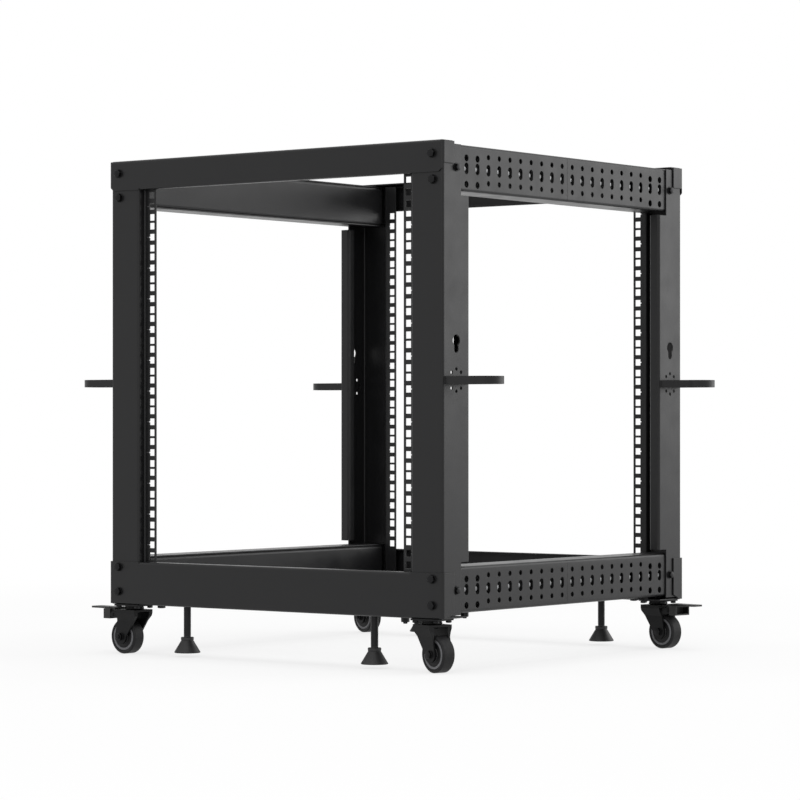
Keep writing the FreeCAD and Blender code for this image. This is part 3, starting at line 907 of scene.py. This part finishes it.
@dataclass
class HookDressing:
    """Weld beads that hold one cable loop to its post."""

    corner: Corner
    bead: float = 1.2
    end_gap: float = 0.5
    steps: int = 4

    def build(self) -> None:
        """Adds a hollow-faced bead along both arms at the post."""
        sx, _ = self.corner.value
        low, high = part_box("hook_" + self.corner.label)
        root = low.x if sx > 0 else high.x
        piece = Piece("welds_" + self.corner.label)
        b = self.bead
        height = (high.z - low.z) / MM
        for y, s in ((low.y, -1), (high.y, 1)):
            at = Matrix.Translation(Vector((root, y, low.z)))
            outline = [(0.0, 0.0), (sx * b, 0.0)]
            for k in range(1, self.steps + 1):
                a = math.pi / 2 * k / self.steps
                outline.append((sx * b * (1 - math.sin(a)),
                                s * b * (1 - math.cos(a))))
            piece.prism(outline, self.end_gap, height - self.end_gap, at)
        piece.set_on("frame", Palette.HOOK)


# ---------------------------------------------------------------- casters
@dataclass
class CasterDressing:
    """Race, bolts, axle ends, wheel covers and pedal ribs of one caster."""

    corner: Corner
    ring_in: float = 16.4
    ring_out: float = 20.0
    ring_face: float = 9.2
    cap_face: float = 8.5
    cap_lip: float = 9.2
    cap_out: float = 10.4
    axle_half: float = 15.0
    axle_turn: float = 12.0
    axle_head: Fastener = field(default_factory=lambda: Fastener(
        height=3.4, washer=12.0))
    axle_nut: Fastener = field(default_factory=lambda: Fastener(
        height=4.0, washer=12.0, end=BoltEnd.NUT))
    race_in: float = 11.0
    race_out: float = 14.0
    plate_t: float = 2.5
    plate_bolts: Point = (17.6, 14.0)
    plate_turn: float = 15.0
    plate_head: Fastener = field(default_factory=lambda: Fastener(
        across=7.0, height=2.6, washer=7.8, washer_t=0.6))
    ribs: int = 4
    first_rib: float = 56.0
    rib_pitch: float = 5.0
    rib_size: Point = (1.2, 18.0)
    rib_foot: float = 1.2
    rib_top: float = 0.2
    rib_chamfer: float = 0.2

    def build(self) -> None:
        """Adds every small part of the caster."""
        joints = {j["name"]: j for j in frame["joints"]}
        roll = joints["roll_" + self.corner.label]
        swivel = joints["swivel_" + self.corner.label]
        axis = Vector(roll["axis"])
        centre = Vector(roll["pos_m"])
        pivot = Vector(swivel["pos_m"])
        self._wheel(centre, axis)
        self._axle(centre, axis)
        self._race(pivot)
        self._plate_bolts(pivot)
        if ("brake_" + self.corner.label) in frame["nodes"]:
            self._pedal(pivot, centre)

    def _wheel(self, centre: Vector, axis: Vector) -> None:
        """Pale rim ring and the dark cap inside it, on both faces.

        Args:
            centre: Middle of the wheel.
            axis: Direction of the axle.
        """
        rim = Piece("rim_" + self.corner.label)
        cap = Piece("cap_" + self.corner.label)
        outer, inner, face = self.ring_out, self.ring_in, self.ring_face
        ring = [(outer, face - 1.7), (outer, face - 0.6), (outer - 0.6, face),
                (inner + 0.7, face), (inner, face - 0.7), (inner, face - 2.2)]
        lip, flat, out = self.cap_lip, self.cap_face, self.cap_out
        cover = [(inner + 0.1, flat - 1.5), (inner + 0.1, flat - 0.4),
                 (inner - 0.6, flat), (lip + 1.2, flat),
                 (lip + 0.4, flat + 0.5), (lip, out - 0.3), (lip - 0.6, out),
                 (5.0, out), (4.4, out - 0.3)]
        for s in (-1, 1):
            at = frame_at(centre, axis * s)
            rim.lathe(ring, at, 56)
            cap.lathe(cover, at, 48)
        rim.set_on("wheel_" + self.corner.label, Palette.HUB)
        cap.set_on("wheel_" + self.corner.label, Palette.CAP)

    def _axle(self, centre: Vector, axis: Vector) -> None:
        """Head and lock nut at the two ends of the axle.

        Args:
            centre: Middle of the wheel.
            axis: Direction of the axle.
        """
        piece = Piece("axle_" + self.corner.label)
        for s, kind in ((-1, self.axle_head), (1, self.axle_nut)):
            seat = centre + axis * (s * self.axle_half * MM)
            kind.draw(piece, frame_at(seat, axis * s, self.axle_turn))
        piece.set_on("swivel_" + self.corner.label,
                     Palette.SCREW)

    def _race(self, pivot: Vector) -> None:
        """Pressed rings of the swivel race, seen below the top plate.

        Args:
            pivot: A point on the swivel axis.
        """
        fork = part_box("fork_" + self.corner.label)
        piece = Piece("race_" + self.corner.label)
        at = Matrix.Translation(Vector((pivot.x, pivot.y, fork[1].z)))
        bore, out = self.race_in, self.race_out
        piece.lathe([(bore, 0.4), (out - 0.8, 0.5), (out, 1.2), (out, 2.4),
                     (out - 0.6, 3.2), (out - 0.6, 4.2), (bore, 4.4)], at, 48)
        piece.set_on("frame", Palette.CASTER)

    def _plate_bolts(self, pivot: Vector) -> None:
        """Four heads that hold the top plate to the beam.

        Args:
            pivot: A point on the swivel axis.
        """
        low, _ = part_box("beam_bottom_" + self.corner.end)
        piece = Piece("plate_bolts_" + self.corner.label)
        x, y = self.plate_bolts
        for sx in (-1, 1):
            for sy in (-1, 1):
                at = Vector((pivot.x + sx * x * MM, pivot.y + sy * y * MM,
                             low.z - self.plate_t * MM))
                self.plate_head.draw(
                    piece, frame_at(at, DOWN, self.plate_turn))
        piece.set_on("frame", Palette.SCREW)

    def _pedal(self, pivot: Vector, centre: Vector) -> None:
        """Grip ribs across the pedal tip.

        Args:
            pivot: A point on the swivel axis.
            centre: Middle of the wheel.
        """
        along = Vector((centre.x - pivot.x, centre.y - pivot.y, 0))
        along.normalize()
        _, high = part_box("brake_" + self.corner.label)
        piece = Piece("ribs_" + self.corner.label)
        root = Matrix.Translation(Vector((pivot.x, pivot.y, high.z)))
        turn = Matrix.Rotation(math.atan2(along.y, along.x), 4, "Z")
        outline = rectangle(*self.rib_size)
        for k in range(self.ribs):
            reach = (self.first_rib + self.rib_pitch * k) * MM
            at = root @ turn @ Matrix.Translation(Vector((reach, 0, 0)))
            piece.prism(outline, -self.rib_foot, -self.rib_top, at,
                        self.rib_chamfer)
        piece.set_on("brake_" + self.corner.label,
                     Palette.PEDAL)


@dataclass
class FootDressing:
    """Thread on the stem of one levelling foot and its lock nut."""

    corner: Corner
    stem: float = 10.0
    pitch: float = 1.5
    crest: float = 0.35
    root_sunk: float = 0.02
    pad_height: float = 23.0
    plain_end: float = 2.0
    smooth: float = 60.0
    nut_across: float = 16.0
    nut_height: float = 7.0
    nut_chamfer: float = 0.7
    flange_t: float = 2.0

    def build(self) -> None:
        """Adds the thread to the stem and the lock nut to the beam."""
        low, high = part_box("foot_" + self.corner.label)
        x, y, _ = (low + high) / 2
        beam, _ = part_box("beam_bottom_" + self.corner.end)
        stem = Piece("thread_" + self.corner.label)
        stem.helix(self.stem / 2 - self.root_sunk, self.crest, self.pitch,
                   low.z / MM + self.pad_height, high.z / MM - self.plain_end,
                   Matrix.Translation(Vector((x, y, 0))))
        stem.set_on("foot_" + self.corner.label, Palette.SCREW,
                    self.smooth)
        nut = Piece("locknut_" + self.corner.label)
        seat = Matrix.Translation(Vector((x, y, beam.z + self.flange_t * MM)))
        nut.prism(polygon(6, self.nut_across), 0.0, self.nut_height, seat,
                  self.nut_chamfer)
        nut.set_on("frame", Palette.SCREW)


# ----------------------------------------------------------------- studio
@dataclass
class Softbox:
    """One large area light that faces the rack."""

    name: str
    place: tuple[float, float, float]
    size: tuple[float, float]
    power: float

    def build(self, target: Vector) -> None:
        """Adds the light.

        Args:
            target: Point that it faces.
        """
        data = bpy.data.lights.new(self.name, "AREA")
        data.shape = "RECTANGLE"
        data.size, data.size_y = self.size
        data.energy = self.power
        light = bpy.data.objects.new(self.name, data)
        bpy.context.scene.collection.objects.link(light)
        light.location = self.place
        aim = target - Vector(self.place)
        light.rotation_euler = aim.to_track_quat("-Z", "Y").to_euler()
        light.visible_camera = False


@dataclass
class Studio:
    """Pale floor, soft light and the camera."""

    camera_at: tuple[float, float, float] = (2.7459, -3.5895, 0.3389)
    yaw_deg: float = 37.411
    lens_mm: float = 138.12
    sensor_mm: float = 36.0
    rise: float = 0.02559
    lit_point: tuple[float, float, float] = (0.0, 0.0, 0.36)
    glow: float = 0.55
    bounce: str = "#c8c8c8"
    white: str = "#ffffff"
    floor_half: float = 12.0
    floor_share: float = 0.25
    floor_fade: tuple[float, float] = (0.9, 2.2)
    lights: Sequence[Softbox] = (
        Softbox("side", (2.8, 3.7, 1.5), (4.0, 2.6), 66.0),
        Softbox("front", (1.4, -4.4, 2.4), (2.6, 1.8), 30.0),
        Softbox("above", (0.0, 0.0, 3.6), (3.0, 3.0), 50.0),
    )

    def build(self) -> None:
        """Adds the floor, the world, the lights and the camera."""
        self._floor()
        self._world()
        for light in self.lights:
            light.build(Vector(self.lit_point))
        self._camera()

    def _floor(self) -> None:
        """Plain pale floor that keeps a soft contact shadow."""
        half = self.floor_half
        corners = [(-half, -half, 0), (half, -half, 0), (half, half, 0),
                   (-half, half, 0)]
        data = bpy.data.meshes.new("floor")
        data.from_pydata(corners, [], [(0, 1, 2, 3)])
        floor = bpy.data.objects.new("floor", data)
        bpy.context.scene.collection.objects.link(floor)
        paint = bpy.data.materials.new("floor_paint")
        paint.use_nodes = True
        tree = paint.node_tree
        tree.nodes.clear()
        bounce = add_node(tree, "ShaderNodeBsdfDiffuse",
                          {"Color": linear(self.bounce)})
        mix = add_node(tree, "ShaderNodeMixShader", links={
            0: self._seen(tree), 1: bounce.outputs["BSDF"],
            2: self._shadow_catch(tree)})
        add_node(tree, "ShaderNodeOutputMaterial",
                 links={"Surface": mix.outputs["Shader"]})
        data.materials.append(paint)

    def _seen(self, tree: bpy.types.NodeTree) -> bpy.types.NodeSocket:
        """One for rays of the camera and of gloss or glass, else zero.

        Args:
            tree: The node tree that takes it.

        Returns:
            The switch socket.
        """
        path = add_node(tree, "ShaderNodeLightPath").outputs
        gloss = add_node(tree, "ShaderNodeMath", links={
            0: path["Is Camera Ray"], 1: path["Is Glossy Ray"]},
            operation="MAXIMUM")
        both = add_node(tree, "ShaderNodeMath", links={
            0: gloss.outputs["Value"], 1: path["Is Transmission Ray"]},
            operation="MAXIMUM")
        return both.outputs["Value"]

    def _shadow_catch(
            self, tree: bpy.types.NodeTree) -> bpy.types.NodeSocket:
        """White that shows the soft shadow near the rack and none far out.

        Args:
            tree: The floor's node tree.

        Returns:
            The shader socket.
        """
        where = add_node(tree, "ShaderNodeTexCoord").outputs["Object"]
        reach = add_node(tree, "ShaderNodeVectorMath", links={0: where},
                         operation="LENGTH")
        near, far = self.floor_fade
        share = add_node(
            tree, "ShaderNodeMapRange",
            {"From Min": near, "From Max": far,
             "To Min": self.floor_share, "To Max": 0.0},
            {"Value": reach.outputs["Value"]},
            interpolation_type="SMOOTHSTEP")
        white = add_node(tree, "ShaderNodeEmission",
                         {"Color": linear(self.white), "Strength": 1.0})
        shade = add_node(tree, "ShaderNodeBsdfDiffuse",
                         {"Color": linear(self.white)})
        mix = add_node(tree, "ShaderNodeMixShader", links={
            0: share.outputs["Result"], 1: white.outputs["Emission"],
            2: shade.outputs["BSDF"]})
        return mix.outputs["Shader"]

    def _world(self) -> None:
        """Surround that is white to look at and lights the rack mildly."""
        world = bpy.data.worlds.new("surround")
        bpy.context.scene.world = world
        world.use_nodes = True
        tree = world.node_tree
        tree.nodes.clear()
        glow = add_node(tree, "ShaderNodeBackground",
                        {"Color": linear(self.white), "Strength": self.glow})
        seen = add_node(tree, "ShaderNodeBackground",
                        {"Color": linear(self.white), "Strength": 1.0})
        mix = add_node(tree, "ShaderNodeMixShader", links={
            0: self._seen(tree),
            1: glow.outputs["Background"], 2: seen.outputs["Background"]})
        add_node(tree, "ShaderNodeOutputWorld",
                 links={"Surface": mix.outputs["Shader"]})

    def _camera(self) -> None:
        """Level camera with its picture shifted up."""
        data = bpy.data.cameras.new("camera")
        data.lens = self.lens_mm
        data.sensor_width = self.sensor_mm
        data.shift_y = self.rise
        data.clip_end = 100.0
        camera = bpy.data.objects.new("camera", data)
        bpy.context.scene.collection.objects.link(camera)
        camera.location = self.camera_at
        camera.rotation_euler = (math.radians(90), 0,
                                 math.radians(self.yaw_deg))
        bpy.context.scene.camera = camera
        bpy.context.scene.view_settings.view_transform = "Standard"


def main() -> None:
    """Builds every class in order and logs the face count of each piece."""
    logging.basicConfig(level=logging.INFO, format="%(name)s %(message)s")
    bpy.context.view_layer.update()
    Palette.dress_nodes()
    builders: Iterable = [
        *(PostDressing(c) for c in Corner),
        *(RailSkin(level, side, end) for level in ("top", "bottom")
          for side in ("left", "right") for end in ("front", "rear")),
        *(BeamDressing(e) for e in ("front", "rear")),
        *(HookDressing(c) for c in Corner),
        *(CasterDressing(c) for c in Corner),
        *(FootDressing(c) for c in Corner),
        Studio(),
    ]
    for builder in builders:
        LOG.info("building %s", type(builder).__name__)
        builder.build()


if __name__ == "__main__":
    main()
